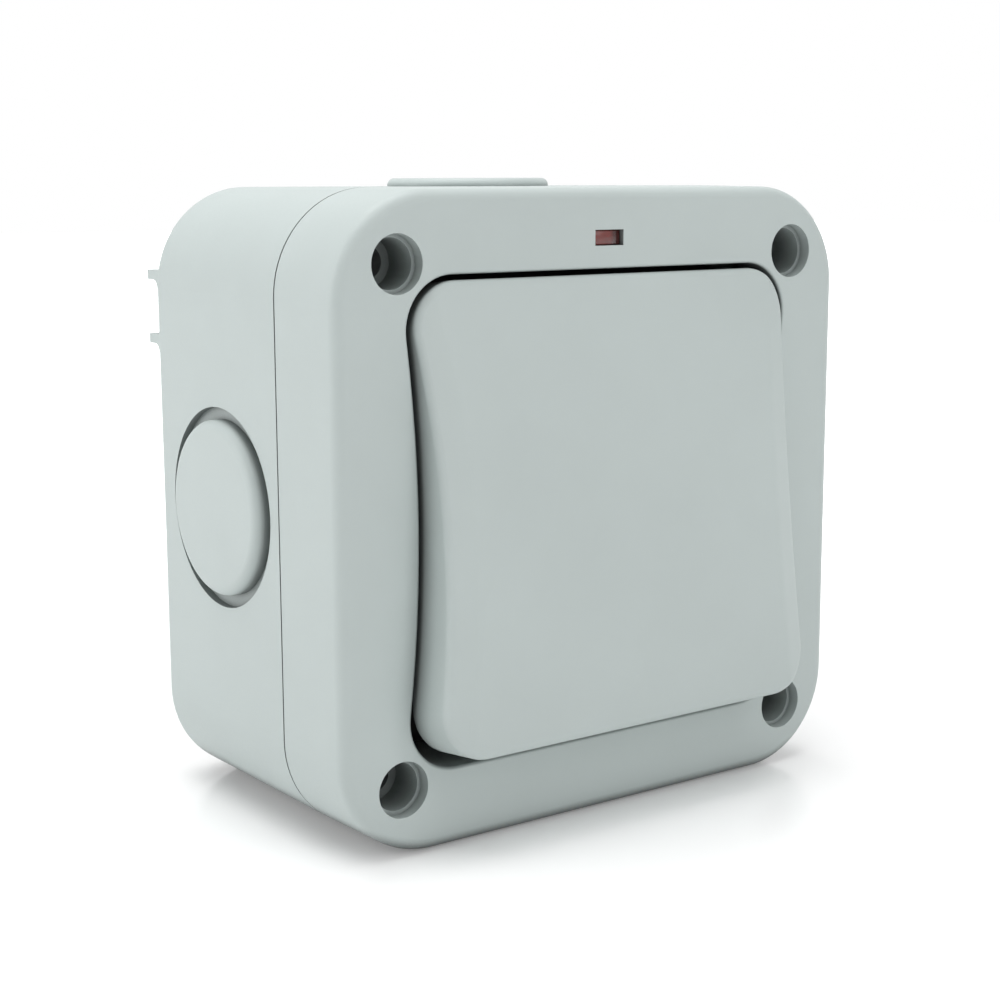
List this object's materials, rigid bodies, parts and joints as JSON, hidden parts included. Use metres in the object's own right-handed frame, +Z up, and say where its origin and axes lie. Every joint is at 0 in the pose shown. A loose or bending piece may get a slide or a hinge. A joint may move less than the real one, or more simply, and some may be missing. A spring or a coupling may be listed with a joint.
{
  "type": "outdoor weatherproof switch",
  "caption": "Surface-mounted weatherproof light switch: square rounded enclosure with a large waisted rocker, neon indicator, sunk corner screws and round cable-entry plugs",
  "frame": {"origin": "centre of the wall plane, midway between the two wall fixings", "axes": "+X to the right seen from the front, +Y into the wall, +Z up; the rocker faces -Y"},
  "size_m": [0.0952, 0.0635, 0.0936],
  "materials": {
    "grey_plastic": "satin",
    "black_rubber": "matte",
    "steel": "plated",
    "brass": "turned",
    "silver": "polished",
    "white_plastic": "satin",
    "dark_plastic": "matte",
    "red_lens": "gloss",
    "clear_glass": "clear",
    "wire_sleeve": "satin"
  },
  "bodies": {
    "enclosure": {"base_box": "grey_plastic", "fixing_caps": "black_rubber", "cover": "grey_plastic", "cover_gasket": "black_rubber", "cover_screws": "steel", "screw_seals": "black_rubber", "threaded_inserts": "brass", "entry_plug_left": "grey_plastic", "entry_plug_right": "grey_plastic", "entry_plug_top": "grey_plastic", "membrane": "black_rubber", "carrier_plate": "dark_plastic", "carrier_screws": "steel", "switch_housing": "white_plastic", "housing_screws": "steel", "rear_insulator": "dark_plastic", "dolly_pin": "steel", "common_terminal": "brass", "upper_terminal": "brass", "lower_terminal": "brass", "terminal_screws": "steel", "earth_terminal": "brass", "earth_screw": "steel", "neon_lens": "red_lens", "neon_lamp": "clear_glass", "lamp_resistor": "dark_plastic", "lamp_leads": "wire_sleeve"},
    "rocker": {"rocker": "grey_plastic"},
    "dolly": {"dolly": "white_plastic", "plunger": "brass", "plunger_spring": "steel"},
    "blade": {"contact_blade": "brass", "blade_contacts": "silver"}
  },
  "joints": [
    {"name": "rocker_pivot", "type": "hinge", "parent": "enclosure", "child": "rocker", "pos_m": [0, -0.0492, 0], "axis": [1, 0, 0], "range_deg": [0, 13.4], "deforming": ["membrane"]},
    {"name": "dolly_pivot", "type": "hinge", "parent": "enclosure", "child": "dolly", "pos_m": [0, -0.0332, 0], "axis": [1, 0, 0], "range_deg": [0, 13.4]},
    {"name": "blade_rock", "type": "hinge", "parent": "enclosure", "child": "blade", "pos_m": [0, -0.02135, 0], "axis": [1, 0, 0], "range_deg": [-16, 0]}
  ],
  "couplings": [
    {"joint": "dolly_pivot", "follows": "rocker_pivot", "ratio": 1},
    {"joint": "blade_rock", "follows": "rocker_pivot", "ratio": -1.194}
  ]
}
